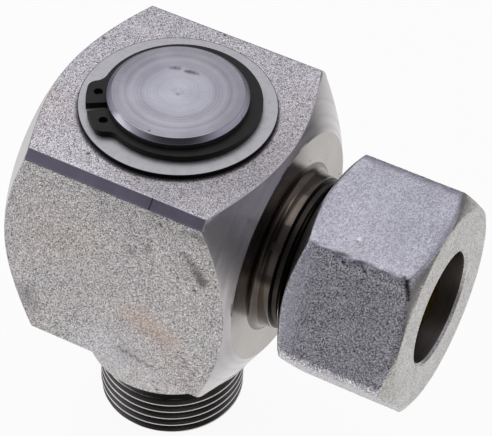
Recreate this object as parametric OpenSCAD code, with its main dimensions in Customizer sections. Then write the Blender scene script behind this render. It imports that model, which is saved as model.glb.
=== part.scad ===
// Swivel elbow fitting for a high pressure hydraulic line.
// A hollow stem screws into the port. The square housing turns on the pin of that stem and
// carries the tube at a right angle to it. A cutting ring and a union nut hold the tube.
// The origin is the centre of the stem's sealing face, where it sits on the port.
// +Z runs up the swivel axis. +X runs along the tube, out of the union nut. Millimetres.

/* [Housing block] */
// Width and height of the square steel bar that the housing is cut from
bar_w = 55; // [54:0.5:64]
// Length of the housing block along the tube axis
block_len = 55; // [52:0.5:64]
// Leg of the 45 degree chamfer along the four long edges
edge_chamfer = 1.85; // [0.5:0.05:4]
// Diameter of the flat circle that the turned cone leaves on each end
end_face_d = 52; // [46:0.5:54]
// Slope of the turned cone, measured from the end face
end_cone_angle = 30; // [15:1:40]
// Height of the tube axis above the port's sealing face
tube_axis_h = 42; // [40:0.5:50]
// Chamfer at both ends of the swivel bore
bore_chamfer = 0.8; // [0.2:0.1:1.5]

/* [Tube end] */
// Outside diameter of the tube that the fitting takes
tube_d = 25; // [22:0.5:26]
// Play between the tube and the socket, on the diameter
tube_play = 0.2; // [0.1:0.05:0.4]
// Depth of the tube socket, from the neck's end face to the tube stop
socket_depth = 12; // [9:0.5:15]
// How much wider the mouth of the 24 degree cone is than the tube
cone_step = 2.9; // [2.5:0.1:3.5]
// Half of the cone's angle
cone_half_angle = 12; // [10:0.5:14]
// Major diameter of the neck's M36 x 2 thread
neck_thread_d = 36; // [35:0.5:38]
// Pitch of that thread
neck_thread_pitch = 2; // [1.5:0.5:2]
// Length of the threaded stretch
neck_thread_len = 18; // [15:0.5:22]
// How much thinner the plain neck next to the block is than the thread
neck_step = 1.2; // [0:0.1:3]
// Length of the plain neck, from the block to the thread relief
neck_plain = 4.1; // [3:0.1:7]
// Fillet between the block and the neck
neck_fillet = 1.8; // [0.5:0.1:2.5]
// How much thinner the thread relief is than the thread
neck_relief_step = 3.2; // [2:0.1:4]
// Length of the thread relief
neck_relief = 1.8; // [1:0.1:3]
// Bore that carries the oil through the housing
flow_bore_d = 20; // [14:0.5:21]

/* [Union nut] */
// Width across the flats of the hexagon
nut_af = 46; // [45:0.5:55]
// Overall length of the nut
nut_len = 27; // [25:0.5:34]
// Distance from the block's end face to the nut's back face, screwed hand tight
nut_stand_off = 9; // [7:0.5:12]
// Diameter of the circle that the corner chamfer leaves on the nut's faces, over its flats
nut_face_ratio = 0.985; // [0.9:0.005:1]
// Slope of the corner chamfer at the nut's two ends
nut_chamfer_angle = 30; // [20:1:35]
// Turn of the hexagon about the tube axis
nut_turn = -6; // [-30:1:30]
// Room between the nut and the cutting ring's body, on the radius
nut_room = 0.5; // [0.3:0.1:1]
// Play of the nut on the thread, on the radius
thread_play = 0.05; // [0.03:0.01:0.15]

/* [Cutting ring] */
// Overall length of the ring
ring_len = 11.5; // [10:0.5:13]
// How much wider the ring's body is than the mouth of the neck's cone
ring_body_step = 2.7; // [2.2:0.1:3.4]
// How far the ring's cone stands out of the neck before its body
ring_stand_out = 0.6; // [0.3:0.1:1]
// Wall of the ring at its back end
ring_tail = 0.8; // [0.5:0.1:1.2]
// Thickness of the ring's nose
ring_nose = 0.35; // [0.25:0.05:0.5]
// Play between the ring and the cones it seats in, on the radius
ring_play = 0.05; // [0.03:0.01:0.1]

/* [Swivel pin] */
// Diameter of the pin that the housing turns on
pin_d = 30; // [28:0.5:32]
// Running play between the pin and the swivel bore, on the radius
running_play = 0.05; // [0.03:0.01:0.08]
// Chamfer round the top of the pin
pin_chamfer = 1; // [0.5:0.1:1.5]
// Bore up the middle of the stem
stem_bore_d = 18; // [12:0.5:18.5]
// Diameter of the cross holes that open the stem bore to the oil chamber
cross_hole_d = 11; // [7:0.5:12]
// Number of cross holes
cross_holes = 4; // [2:1:4]
// Depth of the waist in the pin where the cross holes break out
waist_depth = 1.5; // [1:0.1:2]
// How far the oil chamber reaches above and below the housing's oil bore
chamber_lip = 0.5; // [0.3:0.1:1]
// Depth of the oil chamber in the wall of the swivel bore
chamber_depth = 3; // [2:0.5:4]

/* [Port stud] */
// Major diameter of the G1 stud thread
stud_thread_d = 33.25; // [32:0.05:34]
// Pitch of that thread
stud_thread_pitch = 2.309; // [1.814:0.001:2.309]
// Length of the stud below the sealing face
stud_len = 18; // [15:0.5:22]
// How much thinner the thread relief under the sealing face is than the thread
stud_relief_step = 3.45; // [2.5:0.05:4]
// Length of that relief
stud_relief = 5; // [3:0.5:6]
// Chamfer at the end of the stud
stud_chamfer = 1.1; // [0.8:0.1:2]
// Diameter of the round sealing collar
collar_d = 39.6; // [38:0.1:42]
// Depth of each of the two wrench flats on the collar
wrench_flat = 1.8; // [1:0.1:2.5]
// Height of the sealing collar below the wrench flats
collar_rim = 4.5; // [3.5:0.5:6]
// Turn of the wrench flats about the swivel axis
wrench_turn = 26; // [0:1:90]

/* [Retaining ring and washers] */
// Width of the two washers, from the pin outwards
washer_width = 6; // [4:0.5:7]
// Play between the washers and the pin, on the radius
washer_play = 0.15; // [0.1:0.05:0.3]
// Thickness of each washer
washer_t = 1; // [0.5:0.1:1.5]
// Thickness of the retaining ring
snap_t = 1.5; // [1.2:0.1:2]
// Depth of the retaining ring's groove in the pin
snap_groove = 0.7; // [0.5:0.05:1]
// Play of the retaining ring in its groove, along the pin
snap_play = 0.1; // [0.05:0.05:0.2]
// Width of the retaining ring opposite its gap
snap_wide = 3.5; // [2.5:0.1:4]
// Width of the retaining ring next to its lugs
snap_narrow = 2.2; // [1.6:0.1:2.6]
// Width of the lugs, from the groove outwards
snap_lug = 5; // [4:0.1:5.5]
// Diameter of the plier holes in the lugs
snap_hole_d = 2; // [1.5:0.1:2.2]
// Angle from the middle of the gap to a plier hole
snap_hole_angle = 15; // [13:0.5:17]
// Radius of the outer corner of each lug
snap_lug_round = 2.2; // [1.5:0.1:2.4]
// Radius of the hollow curve from each lug to the ring's body
snap_hollow = 3; // [1.5:0.1:4]
// Width of the gap between the lugs, as an angle
snap_gap_angle = 7; // [4:0.5:10]
// Direction of the gap about the swivel axis
snap_turn = -143; // [-180:1:180]
// Length of pin above the retaining ring's groove
pin_land = 2.2; // [1.6:0.1:4]

/* [Seals] */
// Section of the main O-rings before they are squeezed
oring_section = 3.2; // [2.8:0.1:3.4]
// Depth of the main seal grooves in the pin
seal_groove = 2.5; // [2.3:0.1:2.7]
// Thickness of each back-up ring
backup_t = 1.4; // [1:0.1:1.6]
// Play along the pin between neighbours in a seal groove
seal_gap = 0.1; // [0.05:0.05:0.2]
// Land between the oil chamber and the main seal groove
seal_land = 1.5; // [1:0.1:2]
// Section of the dust rings before they are squeezed
dust_section = 2.2; // [1.8:0.1:2.4]
// Depth of the dust ring grooves in the pin
dust_groove = 1.7; // [1.5:0.1:1.8]
// Play between a seal and the floor of its groove
groove_play = 0.02; // [0.01:0.01:0.05]
// Land between a dust ring groove and the end of the swivel bore
dust_land = 2.5; // [2:0.1:4]
// Height of the soft stud seal in the face of the collar
stud_seal_t = 1.8; // [1.2:0.1:2.4]
// Width of the metal rim left round the stud seal
stud_seal_rim = 1.3; // [1:0.1:2]

/* [Hidden] */
// Facets of the round parts
$fn = 96;
// How far a cutting shape runs past what it cuts
over = 1;

// The housing block's faces
block_bottom = tube_axis_h - bar_w / 2;
block_top = tube_axis_h + bar_w / 2;
end_x = block_len / 2;
end_face_r = end_face_d / 2;
cone_rise = tan(end_cone_angle);
// A radius that clears the block's long edges
outside_r = bar_w / sqrt(2) + over;

// Places along the neck, from the swivel axis
thread_r = neck_thread_d / 2;
neck_r = thread_r - neck_step / 2;
neck_relief_r = thread_r - neck_relief_step / 2;
relief_start = end_x + neck_plain;
thread_start = relief_start + neck_relief;
neck_end = thread_start + neck_thread_len;
// The metric thread's depth, and the width of its crests and roots
thread_depth = 0.613 * neck_thread_pitch;
thread_crest = neck_thread_pitch / 8;
thread_root = neck_thread_pitch / 4;
// Length of the sloping step at both ends of the thread relief
thread_flank = 0.4;
// Both threads are drawn as rings one pitch apart, without the helix
neck_thread_room = neck_thread_len - thread_flank - thread_depth + thread_crest / 2;
neck_rings = floor(neck_thread_room / neck_thread_pitch);
socket_r = (tube_d + tube_play) / 2;
mouth_r = (tube_d + cone_step) / 2;
cone_slope = tan(cone_half_angle);
socket_end = neck_end - socket_depth;
cone_depth = (mouth_r - socket_r) / cone_slope;

// The cutting ring, its nose resting in the cone
nose_r = socket_r + ring_nose;
nose_x = neck_end - (mouth_r - ring_play - nose_r) / cone_slope;
ring_end = nose_x + ring_len;
ring_body_r = mouth_r + ring_body_step / 2;
ring_tail_r = socket_r + ring_tail;
// The ring's bore is a little wider than the socket, so that the tube slides in easily
ring_slip = 0.02;
ring_bore_r = socket_r + ring_slip;
shoulder_x = ring_end - (ring_body_r - ring_tail_r);

// The union nut
nut_back = end_x + nut_stand_off;
nut_front = nut_back + nut_len;
nut_face_r = nut_af / 2 * nut_face_ratio;
nut_corner_r = nut_af / sqrt(3);
nut_bore_r = thread_r + thread_play;
nut_seat_x = ring_end + ring_play * sqrt(2);
nut_seat_r = ring_tail_r;
nut_shelf_r = ring_body_r + nut_room;
nut_shelf_x = nut_seat_x - (nut_shelf_r - nut_seat_r);

// Heights up the stem
pin_r = pin_d / 2;
bore_r = pin_r + running_play;
collar_top = block_bottom - washer_t;
collar_r = collar_d / 2;
washer_r = pin_r + washer_width;
washer_hole_r = pin_r + washer_play;
snap_bottom = block_top + washer_t;
snap_groove_r = pin_r - snap_groove;
// The ring's body is wider opposite the gap: its outside circle is set off from the pin's axis
snap_outer_r = snap_groove_r + (snap_wide + snap_narrow) / 2;
snap_offset = (snap_wide - snap_narrow) / 2;
groove_top = snap_bottom + snap_t + snap_play;
pin_top = groove_top + pin_land;
stem_bore_r = stem_bore_d / 2;
chamber_r = bore_r + chamber_depth;
chamber_h = flow_bore_d + 2 * chamber_lip;
// The stem's bore runs a little past the cross holes
bore_past = 1.5;
stem_bore_top = tube_axis_h + cross_hole_d / 2 + bore_past;

// Seal grooves: a main seal has an O-ring between two back-up rings
// A squeezed rubber ring is this much wider than its section
spread = 1.05;
oring_w = oring_section * spread;
main_groove_h = oring_w + 2 * backup_t + 4 * seal_gap;
upper_main = tube_axis_h + chamber_h / 2 + seal_land;
lower_main = tube_axis_h - chamber_h / 2 - seal_land - main_groove_h;
main_groove_r = pin_r - seal_groove;
// Heights of its three rings from the groove's floor
backup_low = seal_gap;
oring_low = backup_low + backup_t + seal_gap;
backup_high = oring_low + oring_w + seal_gap;
dust_w = dust_section * spread;
dust_groove_h = dust_w + 2 * seal_gap;
upper_dust = block_top - dust_land - dust_groove_h;
lower_dust = block_bottom + dust_land;
dust_groove_r = pin_r - dust_groove;
stud_r = stud_thread_d / 2;
stud_relief_r = stud_r - stud_relief_step / 2;
stud_seal_r = collar_r - stud_seal_rim;

// The pipe thread's depth, and the width of its crests and roots
stud_depth = 0.64 * stud_thread_pitch;
stud_crest = stud_thread_pitch / 6;
stud_root = stud_thread_pitch / 6;
stud_rings = floor((stud_len - stud_chamfer - stud_relief + stud_crest / 2) / stud_thread_pitch);
stud_thread_end = stud_relief + stud_rings * stud_thread_pitch;

// Turns a profile drawn as radius against distance about the tube axis
module about_tube() {
    translate([0, 0, tube_axis_h])
        rotate([0, 90, 0])
            rotate_extrude()
                children();
}

// The square bar with its four long edges chamfered, along the tube axis
module chamfered_bar() {
    half = bar_w / 2;
    cut = half - edge_chamfer;
    translate([-end_x, 0, tube_axis_h])
        rotate([90, 0, 90])
            linear_extrude(block_len)
                polygon([[-half, -cut], [-cut, -half], [cut, -half], [half, -cut],
                    [half, cut], [cut, half], [-cut, half], [-half, cut]]);
}

// The lathe outline that takes the corners off both ends of the bar
module turned_ends() {
    corner_x = end_x - (outside_r - end_face_r) * cone_rise;
    about_tube()
        polygon([[0, -end_x], [end_face_r, -end_x], [outside_r, -corner_x],
            [outside_r, corner_x], [end_face_r, end_x], [0, end_x]]);
}

// The outline of one thread groove, from its edge on the crest down to the root and up again
function groove(middle, major_r, depth, pitch, crest, root) = [
    [major_r, middle - (pitch - crest) / 2], [major_r - depth, middle - root / 2],
    [major_r - depth, middle + root / 2], [major_r, middle + (pitch - crest) / 2]];

// The neck: fillet, plain stretch, thread relief and thread
module neck() {
    first_crest = thread_start + thread_flank;
    about_tube() {
        difference() {
            translate([0, end_x - over])
                square([neck_r + neck_fillet, neck_fillet + over]);
            translate([neck_r + neck_fillet, end_x + neck_fillet])
                circle(neck_fillet);
        }
        polygon([[0, end_x - over], [neck_r, end_x - over], [neck_r, relief_start],
            [neck_relief_r, relief_start + thread_flank], [neck_relief_r, thread_start - thread_flank],
            [thread_r - thread_depth, thread_start], [thread_r, first_crest],
            for (i = [0 : neck_rings - 1], p = groove(first_crest + (i + 0.5) * neck_thread_pitch,
                thread_r, thread_depth, neck_thread_pitch, thread_crest, thread_root)) p,
            [thread_r, neck_end - thread_depth], [thread_r - thread_depth, neck_end],
            [0, neck_end]]);
    }
}

// What is bored from the tube side: cone, socket and oil bore
module tube_bores() {
    about_tube()
        polygon([[0, 0], [flow_bore_d / 2, 0], [flow_bore_d / 2, socket_end],
            [socket_r, socket_end], [socket_r, neck_end - cone_depth], [mouth_r, neck_end],
            [mouth_r, neck_end + over], [0, neck_end + over]]);
}

// What is bored along the swivel axis: bearing bore, its two chamfers and the oil chamber
module swivel_bores() {
    rotate_extrude()
        polygon([[0, block_bottom - over], [bore_r + bore_chamfer, block_bottom - over],
            [bore_r + bore_chamfer, block_bottom], [bore_r, block_bottom + bore_chamfer],
            [bore_r, block_top - bore_chamfer], [bore_r + bore_chamfer, block_top],
            [bore_r + bore_chamfer, block_top + over], [0, block_top + over]]);
    translate([0, 0, tube_axis_h - chamber_h / 2])
        cylinder(h = chamber_h, r = chamber_r);
}

module housing() {
    color([0.62, 0.61, 0.60])
        difference() {
            union() {
                intersection() {
                    chamfered_bar();
                    turned_ends();
                }
                neck();
            }
            tube_bores();
            swivel_bores();
        }
}

// Cuts a groove into the pin, from its floor outwards
module pin_groove(bottom, height, floor_r) {
    translate([0, 0, bottom])
        difference() {
            cylinder(h = height, r = pin_r + over);
            translate([0, 0, -over])
                cylinder(h = height + 2 * over, r = floor_r);
        }
}

// The pin and the stud, as one lathe outline
module stem_blank() {
    collar_chamfer = 0.6;
    relief_flank = (stud_r - stud_relief_r) / 2;
    rotate_extrude()
        polygon([[0, -stud_len], [stud_r - stud_chamfer, -stud_len],
            [stud_r, stud_chamfer - stud_len],
            for (i = [0 : stud_rings - 1], p = groove((i + 0.5) * stud_thread_pitch - stud_thread_end,
                stud_r, stud_depth, stud_thread_pitch, stud_crest, stud_root)) p,
            [stud_r, -stud_relief],
            [stud_relief_r, relief_flank - stud_relief], [stud_relief_r, stud_seal_t],
            [stud_seal_r, stud_seal_t], [stud_seal_r, 0], [collar_r, 0],
            [collar_r, collar_top - collar_chamfer], [collar_r - collar_chamfer, collar_top],
            [pin_r, collar_top], [pin_r, pin_top - pin_chamfer], [pin_r - pin_chamfer, pin_top],
            [0, pin_top]]);
}

// Cuts the two wrench flats on the collar
module wrench_cuts() {
    rotate([0, 0, wrench_turn])
        for (side = [-1, 1])
            translate([side * (collar_d - wrench_flat), 0, (collar_rim + collar_top) / 2])
                cube([collar_d, 2 * collar_d, collar_top - collar_rim], center = true);
}

// The bore up the stem, its drill point and the cross holes, which start inside the bore
module oil_ways() {
    drill_point = stem_bore_r * tan(31);
    inside = 0.5;
    hole_start = sqrt(stem_bore_r ^ 2 - (cross_hole_d / 2) ^ 2) - inside;
    rotate_extrude()
        polygon([[0, -stud_len - over], [stem_bore_r, -stud_len - over],
            [stem_bore_r, stem_bore_top], [0, stem_bore_top + drill_point]]);
    for (i = [0 : cross_holes - 1])
        rotate([0, 0, (i + 0.5) * 360 / cross_holes])
            translate([hole_start, 0, tube_axis_h])
                rotate([0, 90, 0])
                    cylinder(h = pin_r, d = cross_hole_d);
}

module swivel_stem() {
    color([0.50, 0.50, 0.51])
        difference() {
            stem_blank();
            wrench_cuts();
            oil_ways();
            pin_groove(snap_bottom, snap_t + snap_play, snap_groove_r);
            pin_groove(tube_axis_h - chamber_h / 2, chamber_h, pin_r - waist_depth);
            pin_groove(upper_main, main_groove_h, main_groove_r);
            pin_groove(lower_main, main_groove_h, main_groove_r);
            pin_groove(upper_dust, dust_groove_h, dust_groove_r);
            pin_groove(lower_dust, dust_groove_h, dust_groove_r);
        }
}

// One lug of the retaining ring, with the gap along +X. Its outer corner is a circle, and a
// hollow curve that touches that circle and the ring's outside runs it into the body.
module snap_lug_outline() {
    lug_r = snap_groove_r + snap_lug;
    corner_at = lug_r - snap_lug_round;
    corner_angle = 2 * snap_hole_angle - snap_gap_angle / 2 - asin(snap_lug_round / corner_at);
    corner = corner_at * [cos(corner_angle), sin(corner_angle)];
    // The hollow's centre lies on two circles, one round the corner and one round the body
    body = [-snap_offset, 0];
    reach = norm(corner - body);
    to_body = snap_outer_r + snap_hollow;
    to_corner = snap_lug_round + snap_hollow;
    bend = acos((reach ^ 2 + to_body ^ 2 - to_corner ^ 2) / (2 * reach * to_body));
    hollow_angle = atan2(corner[1], corner[0] + snap_offset) + bend;
    hollow = body + to_body * [cos(hollow_angle), sin(hollow_angle)];
    intersection() {
        circle(lug_r);
        polygon([[0, 0], [2 * lug_r, 0], 2 * lug_r * [cos(corner_angle), sin(corner_angle)]]);
    }
    translate(corner)
        circle(snap_lug_round);
    difference() {
        polygon([body, corner, hollow]);
        translate(hollow)
            circle(snap_hollow);
    }
}

module retaining_ring() {
    hole_r = snap_groove_r + snap_lug / 2;
    color([0.10, 0.10, 0.11])
        translate([0, 0, snap_bottom])
            rotate([0, 0, snap_turn])
                linear_extrude(snap_t)
                    difference() {
                        union() {
                            translate([-snap_offset, 0])
                                circle(snap_outer_r);
                            snap_lug_outline();
                            mirror([0, 1])
                                snap_lug_outline();
                        }
                        circle(snap_groove_r);
                        polygon([[0, 0], for (side = [-1, 1])
                            2 * snap_outer_r * [cos(snap_gap_angle / 2), side * sin(snap_gap_angle / 2)]]);
                        for (side = [-1, 1])
                            rotate(side * snap_hole_angle)
                                translate([hole_r, 0])
                                    circle(d = snap_hole_d);
                    }
}

// A flat washer round the pin
module washer(bottom) {
    translate([0, 0, bottom])
        difference() {
            cylinder(h = washer_t, r = washer_r);
            translate([0, 0, -over])
                cylinder(h = washer_t + 2 * over, r = washer_hole_r);
        }
}

module upper_support_washer() {
    color([0.70, 0.70, 0.71])
        washer(block_top);
}

module lower_thrust_washer() {
    color([0.70, 0.70, 0.71])
        washer(collar_top);
}

// A rubber ring squeezed between its groove and the bore: flat inside and out, round above and below
module squeezed_ring(bottom, width, floor_r) {
    inner_r = floor_r + groove_play;
    translate([0, 0, bottom + width / 2])
        rotate_extrude()
            intersection() {
                translate([(inner_r + pin_r) / 2, 0])
                    circle(width / 2);
                translate([inner_r, -width])
                    square([pin_r - inner_r, 2 * width]);
            }
}

// A flat plastic ring that keeps an O-ring from being pushed into the running gap
module backup_ring(bottom) {
    color([0.90, 0.88, 0.82])
        translate([0, 0, bottom])
            difference() {
                cylinder(h = backup_t, r = pin_r);
                translate([0, 0, -over])
                    cylinder(h = backup_t + 2 * over, r = main_groove_r + groove_play);
            }
}

module upper_seal_ring() {
    color([0.08, 0.08, 0.08])
        squeezed_ring(upper_main + oring_low, oring_w, main_groove_r);
}

module lower_seal_ring() {
    color([0.08, 0.08, 0.08])
        squeezed_ring(lower_main + oring_low, oring_w, main_groove_r);
}

module upper_seal_backup_top() {
    backup_ring(upper_main + backup_high);
}

module upper_seal_backup_bottom() {
    backup_ring(upper_main + backup_low);
}

module lower_seal_backup_top() {
    backup_ring(lower_main + backup_high);
}

module lower_seal_backup_bottom() {
    backup_ring(lower_main + backup_low);
}

module upper_dust_ring() {
    color([0.08, 0.08, 0.08])
        squeezed_ring(upper_dust + seal_gap, dust_w, dust_groove_r);
}

module lower_dust_ring() {
    color([0.08, 0.08, 0.08])
        squeezed_ring(lower_dust + seal_gap, dust_w, dust_groove_r);
}

// The soft ring in the face of the collar, which seals against the port
module stud_seal() {
    seal_play = 0.05;
    bevel = 0.5;
    color([0.08, 0.08, 0.08])
        rotate_extrude()
            polygon([[stud_relief_r + seal_play, bevel], [stud_relief_r + seal_play + bevel, 0],
                [stud_seal_r - seal_play, 0], [stud_seal_r - seal_play, stud_seal_t - seal_play],
                [stud_relief_r + seal_play, stud_seal_t - seal_play]]);
}

// The cutting ring: a thin nose in the cone, a body, and a 45 degree shoulder in the nut
module cutting_ring() {
    step_x = neck_end + ring_stand_out;
    step_r = nose_r + (step_x - nose_x) * cone_slope;
    // The groove inside the ring, behind its cutting edge
    edge_len = 1.6;
    groove_len = 0.9;
    groove_depth = 0.25;
    groove_x = nose_x + edge_len;
    color([0.75, 0.68, 0.42])
        about_tube()
            polygon([[ring_bore_r, nose_x], [nose_r, nose_x], [step_r, step_x],
                [ring_body_r, step_x + (ring_body_r - step_r)], [ring_body_r, shoulder_x],
                [ring_tail_r, ring_end], [ring_bore_r, ring_end],
                [ring_bore_r, groove_x + groove_len],
                [ring_bore_r + groove_depth, groove_x + groove_len], [ring_bore_r, groove_x]]);
}

// The hexagon of the union nut, with its corners turned off at both ends
module nut_blank() {
    rise = (nut_corner_r + over - nut_face_r) * tan(nut_chamfer_angle);
    intersection() {
        translate([nut_back, 0, tube_axis_h])
            rotate([0, 90, 0])
                rotate([0, 0, 90 - nut_turn])
                    cylinder(h = nut_len, r = nut_corner_r, $fn = 6);
        about_tube()
            polygon([[0, nut_back], [nut_face_r, nut_back], [nut_corner_r + over, nut_back + rise],
                [nut_corner_r + over, nut_front - rise], [nut_face_r, nut_front], [0, nut_front]]);
    }
}

module union_nut() {
    mouth_chamfer = 0.8;
    front_chamfer = 0.6;
    shelf_flank = 0.8;
    thread_run_out = 1.2;
    thread_end = neck_end + thread_run_out;
    color([0.58, 0.58, 0.62])
        difference() {
            nut_blank();
            about_tube()
                polygon([[0, nut_back - over], [nut_bore_r + mouth_chamfer, nut_back - over],
                    [nut_bore_r + mouth_chamfer, nut_back], [nut_bore_r, nut_back + mouth_chamfer],
                    [nut_bore_r, thread_end], [nut_shelf_r, thread_end + shelf_flank],
                    [nut_shelf_r, nut_shelf_x], [nut_seat_r, nut_seat_x], [socket_r, nut_seat_x],
                    [socket_r, nut_front - front_chamfer],
                    [socket_r + front_chamfer, nut_front],
                    [socket_r + front_chamfer, nut_front + over], [0, nut_front + over]]);
        }
}

housing();
swivel_stem();
retaining_ring();
upper_support_washer();
lower_thrust_washer();
upper_seal_ring();
lower_seal_ring();
upper_seal_backup_top();
upper_seal_backup_bottom();
lower_seal_backup_top();
lower_seal_backup_bottom();
upper_dust_ring();
lower_dust_ring();
stud_seal();
cutting_ring();
union_nut();
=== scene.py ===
# %% [markdown]
# # A swivel elbow fitting in steel
#
# The CAD solids come in first and stay where they are. They carry the sizes and the joints.
# This script gives them the look of the real part: turned, blasted and cold formed steel, two
# real helical threads and a black spring steel ring. Where a solid is too plain to show, a
# finer mesh is laid exactly over it and the solid is hidden.

# %% Load the frame
import math

import bmesh
import bpy
from mathutils import Matrix, Vector, noise


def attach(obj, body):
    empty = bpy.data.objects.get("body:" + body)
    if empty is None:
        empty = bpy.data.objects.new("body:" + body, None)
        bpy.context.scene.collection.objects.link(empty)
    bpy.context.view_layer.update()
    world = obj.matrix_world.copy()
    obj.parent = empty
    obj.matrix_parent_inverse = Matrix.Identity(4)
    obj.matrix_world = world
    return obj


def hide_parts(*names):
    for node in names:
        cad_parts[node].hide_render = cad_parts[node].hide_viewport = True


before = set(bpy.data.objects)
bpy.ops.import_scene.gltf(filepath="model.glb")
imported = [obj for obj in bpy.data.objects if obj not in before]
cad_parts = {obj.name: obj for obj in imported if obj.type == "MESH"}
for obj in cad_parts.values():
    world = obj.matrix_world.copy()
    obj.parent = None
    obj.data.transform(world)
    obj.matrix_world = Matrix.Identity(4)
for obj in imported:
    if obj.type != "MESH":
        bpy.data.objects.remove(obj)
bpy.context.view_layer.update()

# %% [markdown]
# ## Sizes
#
# A turned part is drawn on paper as half a cross section with its diameters and lengths. The
# same few numbers are enough here. They are in millimetres, with the swivel axis upright and
# the tube axis level, and one factor turns them into Blender's metres at the end. A name that
# ends in R is a radius. The others are widths, or places along the part's own axis.

# %% Sizes of the housing
MM = 0.001
TUBE_AXIS = 42.0
BLOCK_HALF = 27.5
BAR_HALF = 27.5
BLOCK_TOP = TUBE_AXIS + BAR_HALF
BLOCK_BOTTOM = TUBE_AXIS - BAR_HALF
EDGE_CHAMFER = 1.85
END_FACE_R = 26.0
CONE_RISE = math.tan(math.radians(30))
NECK_R = 17.4
NECK_FILLET = 1.8
RELIEF_R = 16.4
RELIEF_START = 31.6
THREAD_R = 18.0
PITCH = 2.0
THREAD_DEPTH = 0.613 * PITCH
THREAD_START = 33.4
NECK_END = 51.4
MOUTH_R = 13.95
MOUTH_ANGLE = math.radians(12)
SOCKET_R = 12.6
SOCKET_END = 39.4
FLOW_R = 10.0
BORE_R = 15.05
BORE_CHAMFER = 0.8
CHAMBER_R = 18.05
CHAMBER_LOW, CHAMBER_HIGH = 31.5, 52.5
print("housing block:", 2 * BLOCK_HALF, "mm, neck to", NECK_END, "mm")

# %% Sizes of the stem and the union nut
STUD_R = 16.625
STUD_PITCH = 2.309
STUD_DEPTH = 0.6403 * STUD_PITCH
STUD_END = -18.0
STUD_CHAMFER = 1.1
STUD_THREAD_TOP = -4.4
STUD_RELIEF = -4.14
STUD_RELIEF_R = 14.9
FACE_GROOVE = 1.8
FACE_GROOVE_R = 18.5
COLLAR_R = 19.8
COLLAR_TOP = 13.5
COLLAR_RIM = 4.5
WRENCH_HALF = 18.0
WRENCH_TURN = math.radians(26)
PIN_R = 15.0
PIN_TOP = 74.3
PIN_CHAMFER = 1.0
# Lowest place, highest place and floor radius of each groove in the pin
DUST_GROOVES = ((17.0, 19.51, 13.3), (64.49, 67.0, 13.3))
SEAL_GROOVES = ((23.44, 30.0, 12.5), (54.0, 60.56, 12.5))
OIL_WAIST = (CHAMBER_LOW, CHAMBER_HIGH, 13.5)
RING_GROOVE = (70.5, 72.1, 14.3)
STEM_BORE_R = 9.0
STEM_BORE_TOP = 49.0
DRILL_ANGLE = math.radians(31)
WASHER_R = 21.0
NUT_BACK = 36.5
NUT_FRONT = 63.5
NUT_MIDDLE = (NUT_BACK + NUT_FRONT) / 2
NUT_HALF = 23.0
NUT_FACE_R = 22.655
NUT_FLAT_ANGLE = math.radians(36)
NUT_MOUTH = 0.6
NUT_LEAD_IN = 0.8
NUT_BORE_R = 18.05
NUT_BORE_END = 52.6
RING_ROOM_R = 15.8
RING_ROOM_START, RING_ROOM_END = 53.4, 56.1
SHELF = 58.5
SHELF_R = 13.4
print("stem:", PIN_TOP - STUD_END, "mm long, nut:", NUT_FRONT - NUT_BACK, "mm long")

# %% [markdown]
# ## Meshes that are rows of points
#
# Every steel piece here was held in a lathe, so each mesh is a stack of closed rows of points
# round one axis. A round row has one radius. A square or a hexagon is a row whose radius
# changes with the angle, which is how the block and the nut stay one mesh with their turned
# ends. Small extra rows beside each edge round it, as a file or a tumbling drum does.

# %% Rows of points to a mesh
def angles_with(count, extra=()):
    """Evenly spaced angles, with a few exact ones added where an edge runs."""
    full = 2 * math.pi
    even = [full * i / count for i in range(count)]
    return sorted({round(a % full, 6) for a in (*even, *extra)})


def point(axis, along, radius, angle):
    """A point at a distance along an axis and a radius and angle round it."""
    a, b = radius * math.cos(angle), radius * math.sin(angle)
    if axis == "X":
        return Vector((along, a, b + TUBE_AXIS)) * MM
    return Vector((a, b, along)) * MM


def build(name, axis, angles, rows, materials, closed=False):
    """Joins rows into one mesh. A row is (along, radius, slot), or a dict that describes a thread.

    The three values of a row may be functions of the angle. In a thread the last column meets
    the first column one turn further on, and elsewhere it meets the same row.
    """
    stack = []
    for row in rows:
        if isinstance(row, dict):
            thread, per_turn = thread_rows(row)
            final = len(stack) + len(thread) - 1
            stack.extend((*r, per_turn, final) for r in thread)
        else:
            stack.append((*row, 0, 0))
    bm = bmesh.new()
    rings = []
    for along, radius, *_ in stack:
        ring = []
        for a in angles:
            place = along(a) if callable(along) else along
            reach = radius(a) if callable(radius) else radius
            ring.append(bm.verts.new(point(axis, place, reach, a)))
        rings.append(ring)
    for i in range(len(rings) if closed else len(rings) - 1):
        following = (i + 1) % len(rings)
        slot = stack[following][2]
        per_turn, final = stack[i][3:]
        for j, a in enumerate(angles):
            k = (j + 1) % len(angles)
            low, high = i, following
            if k == 0 and per_turn and i < final:
                low, high = min(i + per_turn, final), min(following + per_turn, final)
                if low == high:
                    continue
            face = bm.faces.new([rings[i][j], rings[low][k], rings[high][k], rings[following][j]])
            face.material_index = slot(a) if callable(slot) else slot
    bmesh.ops.remove_doubles(bm, verts=bm.verts, dist=2e-7)
    bmesh.ops.dissolve_degenerate(bm, edges=bm.edges, dist=1e-8)
    bmesh.ops.recalc_face_normals(bm, faces=bm.faces)
    mesh = bpy.data.meshes.new(name)
    bm.to_mesh(mesh)
    open_edges = sum(1 for e in bm.edges if not e.is_manifold)
    bm.free()
    for material in materials:
        mesh.materials.append(material)
    piece = bpy.data.objects.new(name, mesh)
    bpy.context.scene.collection.objects.link(piece)
    print(name, "has", len(mesh.polygons), "faces and", open_edges, "open edges")
    return piece


# %% [markdown]
# ## Threads
#
# A thread is a groove that climbs one pitch in each turn. It could be cut with a Boolean, but
# the edges come out ragged. Here the rows themselves climb with the helix, so every crest is
# one clean line, and the last point of a row meets the first point of the row one turn on.
# A profile lists the way from a crest to the next root: the share of the pitch, and the share
# of the depth there. The way up to the next crest is the same one backwards.

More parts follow.
